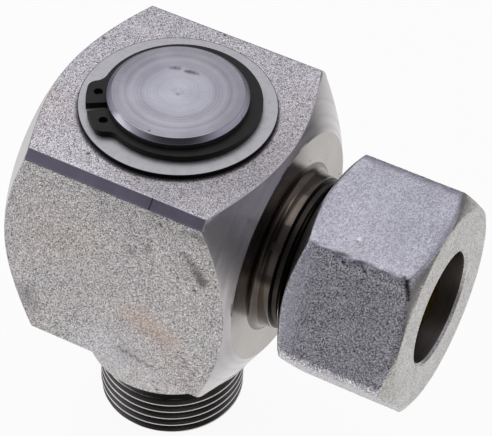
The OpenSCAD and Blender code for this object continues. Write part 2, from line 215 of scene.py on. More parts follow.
# %% Rows that climb
METRIC = [(0, 0), (0.05, 0), (0.075, 0.03), (0.11, 0.14), (0.22, 0.5), (0.32, 0.86), (0.37, 0.97),
          (0.42, 1)]
WHITWORTH = [(0, 0), (0.05, 0.012), (0.08, 0.045), (0.11, 0.11), (0.15, 0.215), (0.25, 0.5),
             (0.35, 0.785), (0.39, 0.89), (0.42, 0.955), (0.45, 0.988)]


def thread_rows(thread):
    """The rows of a thread between two ends, under a limit that the end chamfers set."""
    pitch, crest, depth = thread["pitch"], thread["crest"], thread["depth"]
    low, high, limit, slot = thread["low"], thread["high"], thread["limit"], thread["slot"]
    half = thread["profile"]
    wave = half + [(0.5, 1)] + [(1 - t, d) for t, d in reversed(half[1:])]
    first = low - 2.2 * pitch + thread.get("phase", 0.0)
    turns = int((high - low) / pitch) + 5
    rows = []
    for turn in range(turns):
        for t, d in wave:
            start = first + (turn + t) * pitch

            def along(a, start=start):
                return min(max(start + pitch * a / (2 * math.pi), low), high)

            def radius(a, start=start, d=d):
                x = start + pitch * a / (2 * math.pi)
                if x <= low:
                    return limit(low)
                if x >= high:
                    return limit(high)
                return min(crest - depth * d, limit(x))

            rows.append((along, radius, slot))
    return rows, len(wave)


# %% [markdown]
# ## Colours and nodes
#
# Colours are written as hex values, as a paint program shows them, and one function turns
# them into the linear values that Cycles wants. One more small function adds a node, sets it
# and links it, so that a material reads as a short list. Patterns lie in the piece's own
# coordinates, in metres, so a scale is one over the size of the pattern.

# %% Colour and node helpers
def linear(code):
    """A hex colour as linear values."""
    parts = [int(code[i:i + 2], 16) / 255 for i in (1, 3, 5)]
    return (*(c / 12.92 if c <= 0.04045 else ((c + 0.055) / 1.055) ** 2.4 for c in parts), 1.0)


def add(tree, kind, links=None, **settings):
    """Adds a shader node and gives its sockets values or outputs. A node means its first output."""
    node = tree.nodes.new("ShaderNode" + kind)
    for key, value in settings.items():
        setattr(node, key, value)
    for socket, source in (links or {}).items():
        if isinstance(source, bpy.types.Node):
            source = source.outputs[0]
        if isinstance(source, bpy.types.NodeSocket):
            tree.links.new(source, node.inputs[socket])
        else:
            node.inputs[socket].default_value = source
    return node


def ramp(tree, source, stops):
    """The colour of a ramp through (place, hex) stops."""
    node = add(tree, "ValToRGB", {0: source})
    band = node.color_ramp
    while len(band.elements) < len(stops):
        band.elements.new(0.5)
    for element, (place, code) in zip(band.elements, stops):
        element.position = place
        element.color = linear(code)
    return node.outputs["Color"]


def start_material(name, metallic, roughness):
    """An empty material with its shader, and the piece's own coordinates in metres."""
    material = bpy.data.materials.new(name)
    material.use_nodes = True
    tree = material.node_tree
    shader = tree.nodes["Principled BSDF"]
    shader.inputs["Metallic"].default_value = metallic
    shader.inputs["Roughness"].default_value = roughness
    where = add(tree, "TexCoord").outputs["Object"]
    return material, tree, shader, where


def finish(tree, shader, colour, rough=None, bump=None):
    """Links a colour, a roughness and a bump to the shader.

    Rough is a source, the range it is read in, and the roughness at both ends of that range.
    Bump is a height, its strength and its depth in mm.
    """
    tree.links.new(colour, shader.inputs["Base Color"])
    if rough:
        source, low, high, rough_low, rough_high = rough
        spread = add(tree, "MapRange", {
            "Value": source, "From Min": low, "From Max": high, "To Min": rough_low,
            "To Max": rough_high})
        tree.links.new(spread.outputs[0], shader.inputs["Roughness"])
    if bump:
        height, strength, depth_mm = bump
        relief = add(tree, "Bump", {"Strength": strength, "Distance": depth_mm * MM, "Height": height})
        tree.links.new(relief.outputs["Normal"], shader.inputs["Normal"])


def axis_distance(tree, where, axis):
    """The distance from the tube axis (X) or the swivel axis (Z), and the place along it."""
    parts = add(tree, "SeparateXYZ", {0: where})
    if axis == "X":
        level = add(tree, "Math", {0: parts.outputs[2], 1: TUBE_AXIS * MM}, operation="SUBTRACT")
        flat = add(tree, "CombineXYZ", {0: parts.outputs[1], 1: level})
    else:
        flat = add(tree, "CombineXYZ", {0: parts.outputs[0], 1: parts.outputs[1]})
    radius = add(tree, "VectorMath", {0: flat}, operation="LENGTH").outputs["Value"]
    return radius, parts.outputs[axis]


# %% [markdown]
# ## Marks
#
# Real parts are never clean. A mark is a soft spot at a place on the part, given in
# millimetres, where the colour turns towards dirt, rust, scorched steel or bright steel. The dirt
# colour also paints a few wide shadows, and the bright steel colour a few pools of light. Marks
# wider than a millimetre or so get a ragged outline from a noise.

# %% Marks on a surface
# The dirt colour doubles as painted shade, and the bright steel colour as painted light
DIRT_AND_SHADE, RUST, SCORCH, BRIGHT_STEEL_AND_LIGHT = "#4e4a48", "#c7a183", "#2c2a29", "#eeedf8"
RAGGED_FROM = 1.0
RAGGED_BY = 5.0
# Soft clouds about 6 mm wide, with finer ones inside them
CLOUDS = {"Scale": 160.0, "Detail": 4.0, "Roughness": 0.6}


def add_marks(tree, where, result, marks):
    """Lays marks over a colour. A mark is its place in mm, size in mm, strength and colour."""
    clouds = add(tree, "TexNoise", {"Vector": where, **CLOUDS}).outputs["Color"]
    centred = add(tree, "VectorMath", {0: clouds, 1: (0.5, 0.5, 0.5)}, operation="SUBTRACT")
    offset = add(tree, "VectorMath", {0: centred, "Scale": RAGGED_BY * MM}, operation="SCALE")
    ragged = add(tree, "VectorMath", {0: where, 1: offset}, operation="ADD")
    for place, size_mm, strength, code in marks:
        source = ragged if size_mm > RAGGED_FROM else where
        far = add(tree, "VectorMath", {0: source, 1: Vector(place) * MM}, operation="DISTANCE")
        mark = add(tree, "MapRange", {
            "Value": far.outputs["Value"], "From Max": size_mm * MM, "To Min": strength, "To Max": 0.0},
            interpolation_type="SMOOTHSTEP")
        result = add(tree, "Mix", {0: mark, 6: result, 7: linear(code)}, data_type="RGBA").outputs[2]
    return result


# %% [markdown]
# ## Blasted bar steel
#
# The four long faces of the block are hot rolled bar that was blasted clean. Grit leaves a
# matt grey, and the steel under it keeps faint warm stains. The eye reads three sizes. Facets
# of about 0.2 mm reflect differently, so the grey jumps from one to the next. Some cells three
# times as wide have a dark pit. Clouds some millimetres wide make the face uneven. The nut and
# the stem's collar have the same material with other greys and sizes.

# %% Blasted steel
def facet_grain(tree, where, grit_mm, pitted):
    """A grain from 0 to 1 that is low in the pits, and the noise that its bumps follow."""
    facets = add(tree, "TexVoronoi", {"Vector": where, "Scale": 1 / (grit_mm * MM)})
    grit = add(tree, "TexNoise", {"Vector": where, "Scale": 0.6 / (grit_mm * MM), "Detail": 2.0})
    grain = add(tree, "Math", {0: grit, 1: 0.6, 2: facets.outputs["Color"]}, operation="MULTIPLY_ADD")
    grain = add(tree, "MapRange", {"Value": grain, "From Min": 0.52, "From Max": 1.18})
    pits = add(tree, "TexVoronoi", {"Vector": where, "Scale": 1 / (3.0 * grit_mm * MM)})
    # A cell's random value decides how far its pit reaches, and many cells have none
    reach = add(tree, "MapRange", {
        "Value": pits.outputs["Color"], "From Min": 0.35, "From Max": 0.9, "To Max": 0.28})
    inside = add(tree, "Math", {0: reach, 1: pits.outputs["Distance"]}, operation="SUBTRACT")
    keep = add(tree, "MapRange", {
        "Value": inside, "From Max": 0.08, "To Min": 1.0, "To Max": 1.0 - pitted})
    grain = add(tree, "Math", {0: grain, 1: keep}, operation="MULTIPLY")
    return grain, grit


def blasted_steel(name, stops, stain, rough, grit_mm, pit_mm, mottle, marks=(), pitted=0.8,
                  washer_shadow_r=0.0):
    """Matt steel of small facets. The stops are its colours from the pits to the high spots.

    Mottle is how bright the darkest cloud stays. The last argument is the edge of a washer that
    lies on the top face, round which a painted contact shadow darkens the face, most at its front.
    """
    material, tree, shader, where = start_material(name, 1.0, rough)
    grain, grit = facet_grain(tree, where, grit_mm, pitted)
    if washer_shadow_r:
        # The top face was handled most, so its grain is calmer. The painted shadow round the washer
        # lies a little forward
        moved = add(tree, "VectorMath", {0: where, 1: (-0.2 * MM, 0.5 * MM, 0)}, operation="ADD")
        radius, height = axis_distance(tree, moved, "Z")
        top = add(tree, "MapRange", {
            "Value": height, "From Min": (BLOCK_TOP - 0.2) * MM, "From Max": (BLOCK_TOP - 0.05) * MM,
            "To Max": 0.22})
        grain = add(tree, "Mix", {0: top, 2: grain, 3: 0.3}, data_type="FLOAT").outputs[0]
    colour = ramp(tree, grain, stops)
    patch = add(tree, "TexNoise", {"Vector": where, "Scale": 40.0, "Detail": 1.5})
    warm = add(tree, "MapRange", {"Value": patch, "From Min": 0.52, "From Max": 0.78, "To Max": 0.4})
    tinted = add(tree, "Mix", {
        0: warm, 6: colour, 7: linear(stain)}, data_type="RGBA", blend_type="MULTIPLY")
    clouds = add(tree, "TexNoise", {"Vector": where, **CLOUDS})
    level = add(tree, "MapRange", {
        "Value": clouds, "From Min": 0.3, "From Max": 0.65, "To Min": mottle})
    shaded = add(tree, "VectorMath", {0: tinted.outputs[2], "Scale": level}, operation="SCALE")
    result = add_marks(tree, where, shaded.outputs[0], marks)
    if washer_shadow_r:
        # A painted contact shadow round the washer's edge, darkest in front
        washer_shadow = add(tree, "MapRange", {
            "Value": radius, "From Min": washer_shadow_r * MM, "From Max": (washer_shadow_r + 0.8) * MM, "To Min": 0.75,
            "To Max": 0.0}, interpolation_type="SMOOTHSTEP")
        result = add(tree, "Mix", {0: washer_shadow, 6: result, 7: linear(SCORCH)}, data_type="RGBA").outputs[2]
    finish(tree, shader, result, (grain, 0.0, 1.0, rough + 0.12, rough - 0.04), (grit, 0.8, pit_mm))
    return material


# %% Marks of the block, the nut and the collar
# Rust, smudges and specks on the block's front face, two darker patches low on it, and a
# painted pool of light centred at its bottom edge, where the floor lights it, by x and z
FRONT_MARKS = [
    (3.5, 34.2, 5.0, 0.20, RUST), (8.5, 33.0, 7.0, 0.32, RUST), (13.5, 31.6, 6.0, 0.24, RUST),
    (-21.5, 25.0, 6.0, 0.35, DIRT_AND_SHADE), (3.5, 20.5, 6.0, 0.22, DIRT_AND_SHADE), (2.0, 15.0, 18.0, 0.30, BRIGHT_STEEL_AND_LIGHT),
    (16.8, 58.1, 1.8, 0.5, DIRT_AND_SHADE), (18.4, 56.6, 2.2, 0.6, DIRT_AND_SHADE), (20.0, 54.6, 2.6, 0.75, DIRT_AND_SHADE),
    (21.3, 53.1, 2.4, 0.75, DIRT_AND_SHADE), (16.6, 65.8, 1.8, 0.5, DIRT_AND_SHADE), (18.7, 65.6, 1.9, 0.6, DIRT_AND_SHADE),
    (20.4, 65.4, 1.8, 0.55, DIRT_AND_SHADE), (4.4, 53.6, 2.4, 0.4, DIRT_AND_SHADE), (8.4, 56.3, 2.4, 0.45, DIRT_AND_SHADE),
    (9.1, 50.1, 2.0, 0.3, DIRT_AND_SHADE), (19.6, 49.6, 0.8, 0.95, SCORCH), (11.4, 64.9, 0.7, 0.9, SCORCH),
    (5.6, 55.3, 0.6, 0.9, SCORCH)]
# A row of short scuffs, and then three specks and two wide painted shadows on the top, one in
# front of the washer and one to its right, by x and y
FRONT_MARKS += [(1.6 + i, 21.6 - 0.22 * i + 0.3 * (-1) ** i, 0.9, 0.6, DIRT_AND_SHADE) for i in range(9)]
TOP_FACE_MARKS = [(-9.3, -21.1, 0.7, 0.95, SCORCH), (-24.4, 11.1, 0.7, 0.95, SCORCH),
                  (-2.4, 25.1, 0.7, 0.95, SCORCH), (23.0, -10.0, 26.0, 0.32, DIRT_AND_SHADE),
                  (7.0, -24.0, 17.0, 0.25, DIRT_AND_SHADE)]
BLOCK_MARKS = [((x, -BAR_HALF, z), *rest) for x, z, *rest in FRONT_MARKS]
BLOCK_MARKS += [((x, y, BLOCK_TOP), *rest) for x, y, *rest in TOP_FACE_MARKS]
# The crack at the nut's worn front corner, the pits of the flash along its upper left edge,
# and a painted highlight along the flat next to its back face
CRACK = [((60.1, -14.7, 63.4), 0.7, 0.9, SCORCH), ((60.8, -15.2, 63.1), 0.8, 0.95, SCORCH),
         ((61.2, -15.6, 62.7), 0.9, 0.95, SCORCH), ((61.5, -15.9, 62.2), 0.9, 0.95, SCORCH),
         ((61.8, -16.15, 61.5), 0.9, 0.95, SCORCH), ((62.0, -16.4, 60.8), 0.8, 0.95, SCORCH),
         ((62.24, -16.71, 60.0), 0.8, 0.9, SCORCH)]
NUT_MARKS = CRACK + [((47.2, -16.1, 62.3), 0.8, 0.95, SCORCH), ((48.2, -16.2, 61.9), 0.6, 0.8, SCORCH),
                     ((52.0, -16.1, 62.2), 0.8, 0.95, SCORCH), ((52.9, -16.1, 62.1), 0.5, 0.8, BRIGHT_STEEL_AND_LIGHT)]
NUT_MARKS += [((38.5, -21.0 + 0.41 * t, 51.3 + 0.91 * t), 6.0, 0.3, BRIGHT_STEEL_AND_LIGHT)
              for t in (-9, -4.5, 0, 4.5, 9)]
PRESSED_MARKS = CRACK + [((47.65, -10.2, 64.0), 0.9, 0.4, BRIGHT_STEEL_AND_LIGHT),
                         ((47.65, -10.9, 64.0), 0.5, 0.6, DIRT_AND_SHADE)]
FACED_MARKS = CRACK + [((NUT_FRONT, 15.65, 35.0), 0.5, 0.8, SCORCH),
                       ((NUT_FRONT, 17.7, 30.8), 0.5, 0.8, SCORCH)]
COLLAR_MARKS = [((6.2, -18.8, 1.45), 0.6, 0.9, SCORCH), ((5.5, -19.0, 4.0), 0.6, 0.8, SCORCH),
                ((4.4, -19.3, 2.6), 0.9, 0.6, BRIGHT_STEEL_AND_LIGHT)]
print("marks on the block:", len(BLOCK_MARKS), "and on the nut:", len(NUT_MARKS))

# %% Blasted, formed and faced steels
# Bar: black pits under a light warm grey, the busiest grain of all
BAR_STEEL = blasted_steel(
    "blasted_bar_steel", [(0.0, "#242222"), (0.15, "#9b9798"), (0.4, "#c2bebe"), (1.0, "#fbf7f7")],
    stain="#efe0d2", rough=0.42, grit_mm=0.16, pit_mm=0.020, mottle=0.9, marks=BLOCK_MARKS, pitted=1.0,
    washer_shadow_r=WASHER_R)
# Cold formed: deeper bumps and a cool grey, so its rough flats glitter in places
NUT_STEEL = blasted_steel(
    "cold_formed_nut_steel", [(0.0, "#4a484d"), (0.28, "#a5a2a8"), (0.6, "#e0dde2"), (1.0, "#fffdff")],
    stain="#e8e6ea", rough=0.34, grit_mm=0.18, pit_mm=0.050, mottle=0.88, marks=NUT_MARKS, pitted=0.6)
# Pressed: nearly one grey, because the tool ironed the grain flat
NUT_SMOOTH = blasted_steel(
    "pressed_nut_steel", [(0.0, "#99989d"), (0.4, "#a9a8ae"), (1.0, "#b5b4ba")],
    stain="#e6e6ee", rough=0.34, grit_mm=0.24, pit_mm=0.012, mottle=0.84, marks=PRESSED_MARKS,
    pitted=0.3)
# Faced: a light warm grey with soft clouds, turned once and then tumbled
NUT_FACE_STEEL = blasted_steel(
    "faced_nut_steel", [(0.0, "#a09d9a"), (0.4, "#bfbcb8"), (1.0, "#d0cdc9")],
    stain="#f0e6da", rough=0.28, grit_mm=0.25, pit_mm=0.012, mottle=0.80, marks=FACED_MARKS, pitted=0.3)
# Collar: the lightest of them, with a fine grain
COLLAR_STEEL = blasted_steel(
    "blasted_collar_steel", [(0.0, "#8c8989"), (0.2, "#bab7b7"), (0.5, "#cecbcb"), (1.0, "#e4e1e1")],
    stain="#efe4d8", rough=0.36, grit_mm=0.20, pit_mm=0.015, mottle=0.88, marks=COLLAR_MARKS)
print("materials so far:", [m.name for m in bpy.data.materials])

# %% [markdown]
# ## Turned steel
#
# The lathe tool leaves a spiral of fine lines round the axis, a few thousandths of a
# millimetre deep. They follow from each point's distance to the axis and its place along it,
# so they show on a flat end, a cone and a cylinder. They are drawn 0.2 to 0.6 mm apart,
# coarser than real ones, so that they show. Such lines also spread a reflection across
# themselves, never along, which makes the light on a turned face look like a fan. The
# shader's anisotropy does that.

# %% Turned steel
# The lines follow the axis faster than the radius, so that they also cross a cone
STEEPNESS = 1.37


def turned_steel(name, light, dark, rough, axis, line_mm, depth_mm, bands, marks=(), brushed=0.55):
    """Smooth steel with fine rings round an axis. Bands is how much the broad rings show."""
    material, tree, shader, where = start_material(name, 1.0, rough)
    radius, height = axis_distance(tree, where, axis)
    walk = add(tree, "Math", {0: height, 1: STEEPNESS, 2: radius}, operation="MULTIPLY_ADD")
    lines = add(tree, "TexNoise", {
        "W": walk, "Scale": 1 / (line_mm * MM), "Detail": 2.0}, noise_dimensions="1D")
    broad = add(tree, "TexNoise", {
        "W": walk, "Scale": 0.15 / (line_mm * MM), "Detail": 1.0}, noise_dimensions="1D")
    smear = add(tree, "TexNoise", {"Vector": where, "Scale": 110.0, "Detail": 4.0})
    mix = add(tree, "Math", {0: lines, 1: 0.2, 2: smear}, operation="MULTIPLY_ADD")
    mix = add(tree, "Math", {0: broad, 1: bands, 2: mix}, operation="MULTIPLY_ADD")
    middle = 0.60 + 0.5 * bands
    place = add(tree, "MapRange", {"Value": mix, "From Min": middle - 0.3, "From Max": middle + 0.2})
    colour = add_marks(tree, where, ramp(tree, place, [(0.0, dark), (1.0, light)]), marks)
    # The tangent lies across the lines: the way round the axis, crossed with the normal
    spin, centre = ((1, 0, 0), (0, 0, TUBE_AXIS * MM)) if axis == "X" else ((0, 0, 1), (0, 0, 0))
    arm = add(tree, "VectorMath", {0: where, 1: centre}, operation="SUBTRACT")
    around = add(tree, "VectorMath", {0: spin, 1: arm}, operation="CROSS_PRODUCT")
    around = add(tree, "VectorTransform", {0: around}, convert_from="OBJECT", convert_to="WORLD")
    normal = add(tree, "NewGeometry").outputs["Normal"]
    across = add(tree, "VectorMath", {0: around, 1: normal}, operation="CROSS_PRODUCT")
    tree.links.new(across.outputs[0], shader.inputs["Tangent"])
    shader.inputs["Anisotropic"].default_value = brushed
    finish(tree, shader, colour, (lines, 0.3, 0.7, rough + 0.05, rough - 0.05), (lines, 0.6, depth_mm))
    return material


# The top of the pin made lighter towards its centre, and smudges on it, by x and y, and a thin
# scratch over the block's front chamfer
PIN_MARKS = [((x, y, PIN_TOP), *rest) for x, y, *rest in (
    (0.0, 0.0, 16.0, 0.22, BRIGHT_STEEL_AND_LIGHT), (-4.8, 5.5, 0.8, 0.5, DIRT_AND_SHADE), (-4.1, 5.9, 0.9, 0.8, DIRT_AND_SHADE),
    (-3.3, 6.2, 0.9, 0.6, DIRT_AND_SHADE), (-1.6, 6.2, 0.8, 0.7, DIRT_AND_SHADE), (-0.9, 6.4, 1.0, 0.9, DIRT_AND_SHADE),
    (0.0, 6.6, 1.0, 0.8, DIRT_AND_SHADE), (0.9, 6.7, 0.8, 0.5, DIRT_AND_SHADE), (0.3, -0.8, 0.7, 0.5, DIRT_AND_SHADE),
    (0.6, -13.3, 0.4, 0.9, SCORCH))]
SCRATCH = [((8.5, -27.4 + 0.2 * i, 67.7 + 0.2 * i), 0.3, 0.9, SCORCH) for i in range(11)]
END_SPECKS = [((BLOCK_HALF, y, z), 0.5, 0.9, SCORCH) for y, z in ((8.0, 60.8), (24.1, 43.2))]

# Cone and end: light, even and silky, one cool and one warm
TURNED_CONE = turned_steel("turned_cone_steel", "#bbb7b9", "#aaa6a8", rough=0.22, axis="X",
                           line_mm=0.22, depth_mm=0.0012, bands=0.1)
TURNED_END = turned_steel("turned_end_steel", "#aca6a1", "#9d9792", rough=0.24, axis="X",
                          line_mm=0.20, depth_mm=0.0012, bands=0.1, marks=END_SPECKS)
# Neck: almost polished, so it mirrors what is near, and darkened as painted shade, since it sits
# between the block and the nut. The bores and the stem's hollows use it as painted shade too
TURNED_NECK = turned_steel("turned_neck_steel", "#655d55", "#403a35", rough=0.12, axis="X",
                           line_mm=0.30, depth_mm=0.002, bands=0.3, brushed=0.0)
# Pin: broad rings that the eye sees first, and a narrow lighter chamfer
TURNED_PIN = turned_steel("turned_pin_steel", "#9c9b9f", "#807f84", rough=0.27, axis="Z",
                          line_mm=0.34, depth_mm=0.002, bands=0.9, marks=PIN_MARKS, brushed=0.35)
PIN_EDGE = turned_steel("turned_pin_chamfer_steel", "#b3b1b8", "#a09ea6", rough=0.22, axis="Z",
                        line_mm=0.26, depth_mm=0.001, bands=0.2)
# Milled chamfer: it mirrors the dark side of the tent, and its darker violet grey paints more of
# that dark reflection into the colour
MILLED_EDGE = turned_steel("milled_chamfer_steel", "#9b95a3", "#857f8c", rough=0.22, axis="X",
                           line_mm=0.60, depth_mm=0.002, bands=0.2, marks=SCRATCH)
# Nut bore: dull under oil. Relief: nearly black, as painted shade in the groove before the thread
DARK_BORE = turned_steel("oiled_bore_steel", "#a59f98", "#7b756f", rough=0.35, axis="X",
                         line_mm=0.30, depth_mm=0.004, bands=0.3)
RELIEF = turned_steel("relief_steel_painted_shade", "#4a4541", "#2c2926", rough=0.45, axis="X",
                      line_mm=0.30, depth_mm=0.004, bands=0.3, brushed=0.0)
print("turned steels made, marks on the pin:", len(PIN_MARKS))

# %% [markdown]
# ## Thread steel
#
# A cut thread keeps dark oil in its roots, and the colour darkens them further as painted
# shade, while the crests get painted highlights. The colour follows the distance from the
# axis, from the root to the crest.

# %% Thread steel
def thread_steel(name, axis, root, crest, light, dark, rough, highlight_start):
    """Painted shade in the roots and painted highlights on the crests, from a share of the height."""
    material, tree, shader, where = start_material(name, 1.0, rough)
    radius, _ = axis_distance(tree, where, axis)
    smear = add(tree, "TexNoise", {"Vector": where, "Scale": 260.0, "Detail": 4.0})
    height = add(tree, "MapRange", {"Value": radius, "From Min": root * MM, "From Max": crest * MM})
    mixed = add(tree, "Math", {0: smear, 1: 0.12, 2: height}, operation="MULTIPLY_ADD")
    mixed = add(tree, "Math", {0: mixed, 1: 0.05}, operation="SUBTRACT")
    colour = ramp(tree, mixed, [(0.0, dark), (highlight_start - 0.05, dark), (highlight_start, light), (1.0, light)])
    finish(tree, shader, colour, (smear, 0.0, 1.0, rough - 0.08, rough + 0.12))
    return material


STUD_THREAD = thread_steel("cut_stud_thread_steel", "Z", root=15.15, crest=16.62, light="#d2cfcc",
                           dark="#5c5956", rough=0.30, highlight_start=0.97)
NECK_THREAD = thread_steel("cut_neck_thread_steel", "X", root=16.77, crest=18.0, light="#f0eadd",
                           dark="#2e2a27", rough=0.42, highlight_start=0.86)
print("thread steels made")

# %% [markdown]
# ## Black spring steel, ground washer steel, rubber and plastic
#
# The retaining ring is stamped spring steel with a black phosphate coat: nearly black, a
# little olive, with a soft sheen. Its edges are lighter: partly bare steel, partly a painted
# glint. The washers were ground flat and tumbled, which leaves a soft cloudy grey, and their
# rims are dark. The seals are nitrile rubber, matt and black, between waxy white plastic
# rings, and the cutting ring is zinc plated and yellow.

# %% Finishes of the rings
def phosphated_steel(name):
    """Nearly black crystals with rubbed, lighter clouds."""
    material, tree, shader, where = start_material(name, 0.55, 0.38)
    grain = add(tree, "TexNoise", {"Vector": where, "Scale": 3200.0, "Detail": 3.0})
    rub = add(tree, "TexNoise", {"Vector": where, "Scale": 210.0, "Detail": 4.0})
    colour = ramp(tree, rub, [(0.3, "#191816"), (0.7, "#2a2825")])
    finish(tree, shader, colour, (rub, 0.0, 1.0, 0.42, 0.62), (grain, 0.3, 0.01))
    return material


def ground_steel(name):
    """An even, tumbled grey with a dark band along the rim."""
    material, tree, shader, where = start_material(name, 1.0, 0.3)
    cloud = add(tree, "TexNoise", {"Vector": where, "Scale": 700.0, "Detail": 4.0})
    colour = ramp(tree, cloud, [(0.3, "#aeadac"), (0.5, "#b8b7b6"), (0.7, "#bebdbc")])
    radius, _ = axis_distance(tree, where, "Z")
    rim = add(tree, "MapRange", {
        "Value": radius, "From Min": (WASHER_R - 0.16) * MM, "From Max": (WASHER_R - 0.08) * MM})
    rim_darkened = add(tree, "Mix", {0: rim, 6: colour, 7: linear("#2e2c2b")}, data_type="RGBA")
    finish(tree, shader, rim_darkened.outputs[2], (cloud, 0.0, 1.0, 0.42, 0.56), (cloud, 0.3, 0.001))
    return material


def soft_ring(name, light, dark, metallic, rough, grain_mm):
    """A plain finish of two close colours with a fine grain."""
    material, tree, shader, where = start_material(name, metallic, rough)
    grain = add(tree, "TexNoise", {"Vector": where, "Scale": 1 / (grain_mm * MM), "Detail": 3.0})
    finish(tree, shader, ramp(tree, grain, [(0.3, dark), (0.7, light)]), bump=(grain, 0.3, 0.01))
    return material


PHOSPHATED = phosphated_steel("phosphated_spring_steel")
RUBBED_EDGE_AND_GLINT = soft_ring("spring_steel_edge_rubbed_and_glint", "#b5b2ab", "#6f6c66", 1.0, 0.35, 0.9)
GROUND = ground_steel("ground_washer_steel")
RUBBER = soft_ring("moulded_nitrile_rubber", "#222220", "#161615", 0.0, 0.62, 0.3)
PTFE = soft_ring("turned_ptfe", "#e9e5d8", "#dcd7c8", 0.0, 0.45, 0.5)
PLATED = soft_ring("zinc_plated_steel", "#c6b274", "#a48f55", 1.0, 0.34, 0.4)
print("ring finishes made")

# %% [markdown]
# ## The housing block
#
# The real housing is sawn from square bar. Its ends are turned, so a flat circle is left on
# each end and a shallow cone cuts the corners off. One mesh does it all: each row asks how far
# the bar reaches at its angle. The long edges have a narrow milled chamfer.

# %% Shape of the bar and the nut at each angle
BAR_SOFT, NUT_SOFT = 0.10, 0.38


def blend_least(values, soft):
    """The least of some values, with the corner between the two least rounded off."""
    least = min(values)
    return least - soft * math.log(sum(math.exp((least - v) / soft) for v in values))


def bar_radius(a):
    """How far the chamfered bar reaches from the tube axis at an angle."""
    chamfer = (2 * BAR_HALF - EDGE_CHAMFER) / math.sqrt(2)
    reach = []
    for k in range(8):
        side = math.cos(a - k * math.pi / 4)
        if side > 0.5:
            reach.append((BAR_HALF if k % 2 == 0 else chamfer) / side)
    return blend_least(reach, BAR_SOFT)


def nut_radius(a):
    """How far the hexagon reaches from the tube axis at an angle."""
    sides = [math.cos(a - NUT_FLAT_ANGLE - k * math.pi / 3) for k in range(6)]
    return blend_least([NUT_HALF / side for side in sides if side > 0.3], NUT_SOFT)


print("bar corner:", round(bar_radius(math.pi / 4), 2), "mm, nut corner:",
      round(nut_radius(NUT_FLAT_ANGLE + math.pi / 6), 2), "mm")

# %% Rows of the block
FLAT, EDGE, CONE, NECK, THREAD, END, DARK = range(7)
# The neck steel paints shade in the bores and the tube's seat, and the relief steel in the relief
HOUSING_FINISHES = [BAR_STEEL, MILLED_EDGE, TURNED_CONE, TURNED_NECK, NECK_THREAD, TURNED_END, RELIEF]
CONE_STEPS = (0.03, 0.3, 0.6, 0.9, 0.985)
SIDE_INSET = 0.12
CORNER_DEGREES = (42.2, 42.7, 43.0, 43.3, 43.8, 44.4, 45, 45.6, 46.2, 46.7, 47.0, 47.3, 47.8)


def on_cone(t, side):
    """A row on the turned cone, t from its circle (0) to the bar's surface (1)."""
    def radius(a):
        return END_FACE_R + (bar_radius(a) - END_FACE_R) * t

    def along(a):
        return side * (BLOCK_HALF - (radius(a) - END_FACE_R) * CONE_RISE)
    return along, radius


def on_side(t):
    """A row along the bar's faces, t from one end (-1) to the other (1)."""
    def along(a):
        return t * (BLOCK_HALF - (bar_radius(a) - END_FACE_R) * CONE_RISE - SIDE_INSET)
    return along, bar_radius


def side_slot(a):
    """The chamfers on the long edges have their own finish."""
    corner = (math.degrees(a) + 0.001) % 90
    return EDGE if 42.99 < corner < 47.0 else FLAT


def neck_limit(x):
    """The cones at both ends of the neck's thread."""
    root = THREAD_R - THREAD_DEPTH
    return min(THREAD_R, root + (x - THREAD_START) * 1.4, root + (NECK_END - x))


# The plain end, its cone, the bar's faces, and the cone and the end round the neck
rows = [(-BLOCK_HALF, 0.0, END), (-BLOCK_HALF, 8.0, END), (-BLOCK_HALF, 20.0, END),
        (-BLOCK_HALF, END_FACE_R - 0.25, END), (-BLOCK_HALF + 0.03, END_FACE_R + 0.02, END)]
rows += [(*on_cone(t, -1), CONE) for t in CONE_STEPS]
rows.append((*on_side(-1.0), CONE))
rows += [(*on_side(t), side_slot) for t in (-0.99, -0.6, -0.2, 0.2, 0.6, 0.99, 1.0)]
rows += [(*on_cone(t, 1), CONE) for t in reversed(CONE_STEPS)]
rows += [(BLOCK_HALF - 0.03, END_FACE_R + 0.02, CONE), (BLOCK_HALF, END_FACE_R - 0.25, END),
         (BLOCK_HALF, 22.0, END), (BLOCK_HALF, NECK_R + NECK_FILLET + 0.05, END)]
# The fillet at the foot of the neck, the relief, the thread, and then inward to the tube's seat
for step in range(9):
    a = math.radians(180 + 90 * step / 8)
    rows.append((BLOCK_HALF + NECK_FILLET + NECK_FILLET * math.cos(a),
                 NECK_R + NECK_FILLET + NECK_FILLET * math.sin(a), NECK))
rows += [(RELIEF_START - 0.15, NECK_R, NECK), (RELIEF_START, NECK_R - 0.15, END),
         (RELIEF_START + 0.4, RELIEF_R, DARK), (THREAD_START - 0.4, RELIEF_R, DARK)]
rows.append({"pitch": PITCH, "crest": THREAD_R, "depth": THREAD_DEPTH, "low": THREAD_START,
             "high": NECK_END, "limit": neck_limit, "slot": THREAD, "profile": METRIC})
mouth_depth = (MOUTH_R - SOCKET_R) / math.tan(MOUTH_ANGLE)
rows += [(NECK_END, MOUTH_R + 0.15, NECK), (NECK_END - 0.1, MOUTH_R, NECK),
         (NECK_END - mouth_depth, SOCKET_R, NECK), (SOCKET_END, SOCKET_R, NECK),
         (SOCKET_END, FLOW_R, NECK), (0.0, FLOW_R, NECK), (0.0, 0.0, NECK)]
corner_angles = [math.radians(90 * quarter + d) for quarter in range(4) for d in CORNER_DEGREES]
housing_look = build("housing_body", "X", angles_with(240, corner_angles), rows, HOUSING_FINISHES)

# %% [markdown]
# The swivel bore goes through the block from top to bottom. It is cut with one Boolean, whose
# cutter is a turned shape with the bearing bore, the oil chamber and the two chamfers.

